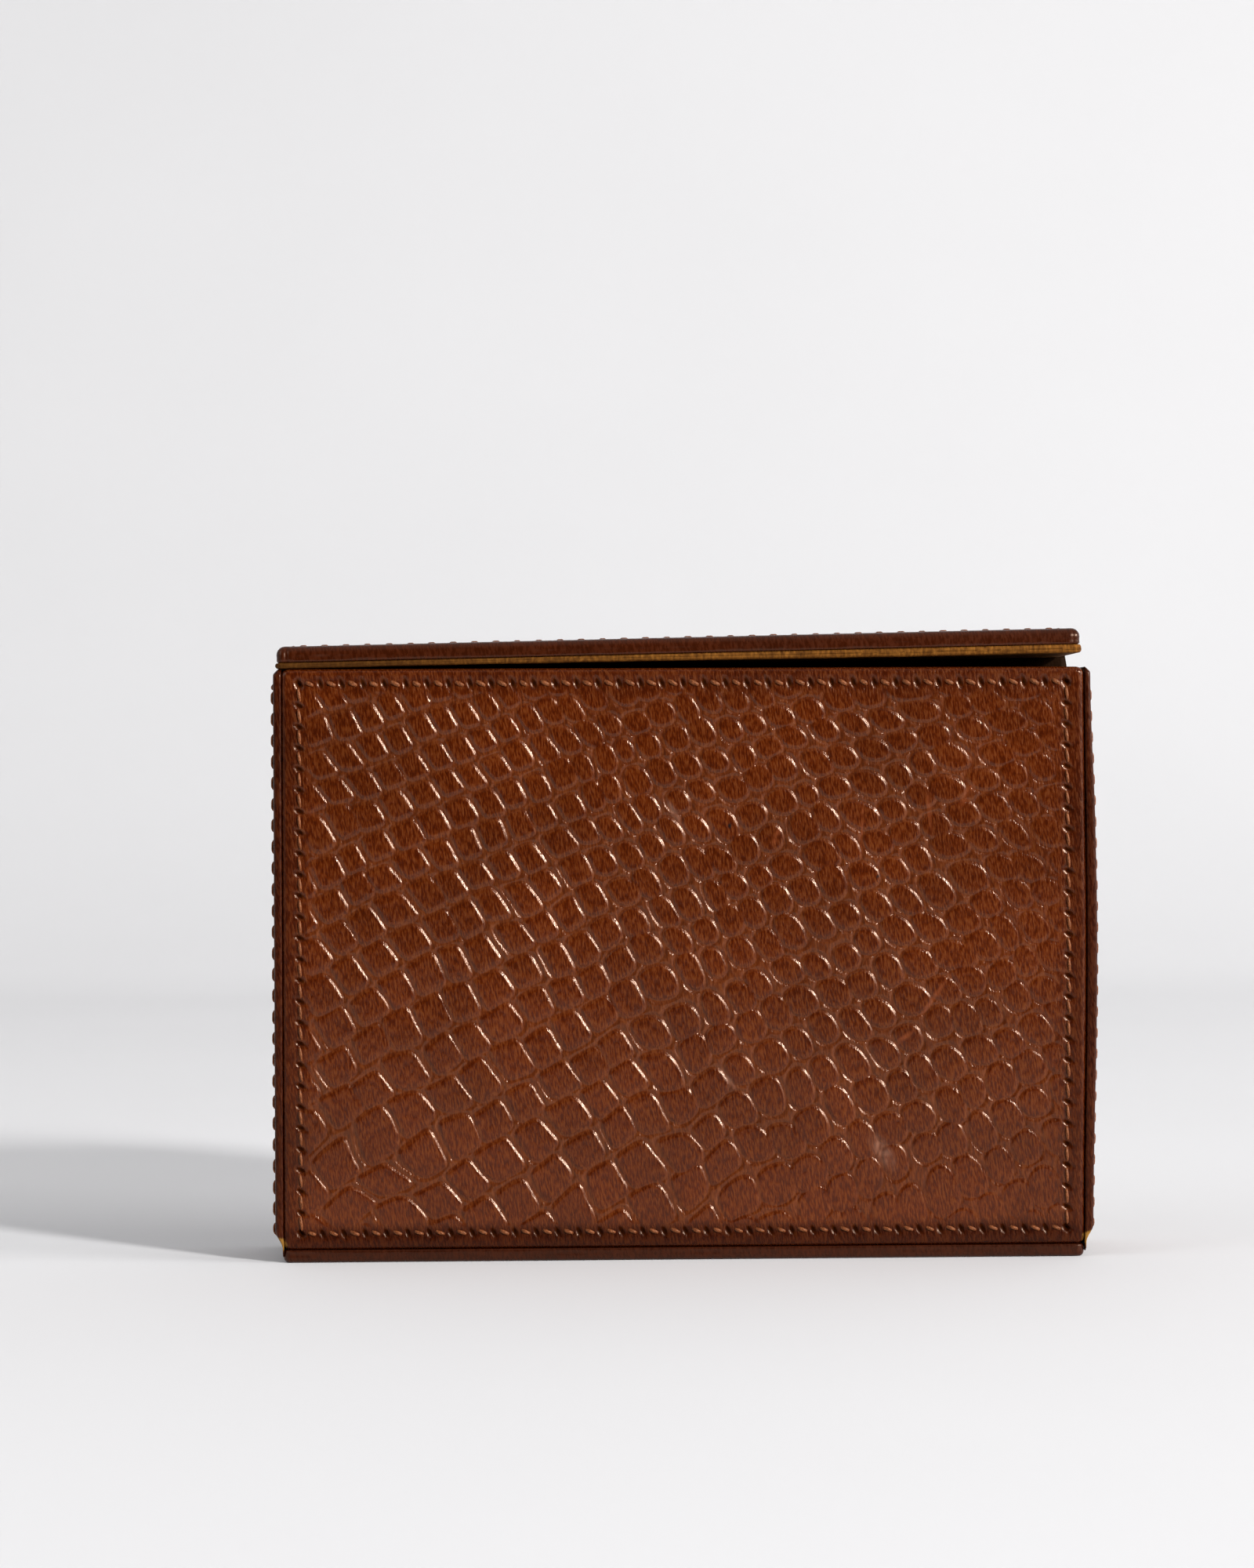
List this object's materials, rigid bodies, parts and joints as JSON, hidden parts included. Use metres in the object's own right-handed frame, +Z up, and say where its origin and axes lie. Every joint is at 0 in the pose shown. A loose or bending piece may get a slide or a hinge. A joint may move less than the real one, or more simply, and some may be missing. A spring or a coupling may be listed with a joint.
{
  "type": "playing card case",
  "caption": "Rigid leather-covered case with a hinged lid, for decks of playing cards standing side by side.",
  "frame": {"origin": "middle of the base's underside", "axes": "+X runs along the case, +Z is up, and the front panel faces -Y"},
  "size_m": [0.1296, 0.0256, 0.099],
  "materials": {
    "embossed_leather": "glazed, scale-embossed, chestnut brown",
    "lining_leather": "smooth, tan, unglazed",
    "hinge_leather": "thin, smooth, chestnut brown",
    "grey_board": "pressed pulp board, matte",
    "waxed_thread": "twisted and waxed, copper brown"
  },
  "bodies": {
    "case": {"front_leather": "embossed_leather", "front_board": "grey_board", "front_lining": "lining_leather", "front_stitching": "waxed_thread", "back_leather": "embossed_leather", "back_board": "grey_board", "back_lining": "lining_leather", "back_stitching": "waxed_thread", "left_end_leather": "embossed_leather", "left_end_board": "grey_board", "left_end_lining": "lining_leather", "left_end_stitching": "waxed_thread", "right_end_leather": "embossed_leather", "right_end_board": "grey_board", "right_end_lining": "lining_leather", "right_end_stitching": "waxed_thread", "base_leather": "embossed_leather", "base_board": "grey_board", "base_lining": "lining_leather", "base_stitching": "waxed_thread", "divider_board": "grey_board", "divider_lining": "lining_leather"},
    "hinge": {"hinge_strip": "hinge_leather"},
    "lid": {"lid_leather": "embossed_leather", "lid_board": "grey_board", "lid_lining": "lining_leather", "lid_stitching": "waxed_thread"}
  },
  "joints": [
    {"name": "lid_rock", "type": "hinge", "parent": "case", "child": "hinge", "pos_m": [-0.0637, 0, 0.0927], "axis": [0, 1, 0], "range_deg": [-0.5, 1.1], "stiffness_Nm_per_rad": 1.5, "springref_deg": -0.23, "deforming": ["hinge_strip"]},
    {"name": "lid_hinge", "type": "hinge", "parent": "hinge", "child": "lid", "pos_m": [-0.0637, 0.01255, 0.09265], "axis": [-0.9998, 0, -0.0202], "range_deg": [0, 178], "deforming": ["hinge_strip"]}
  ]
}
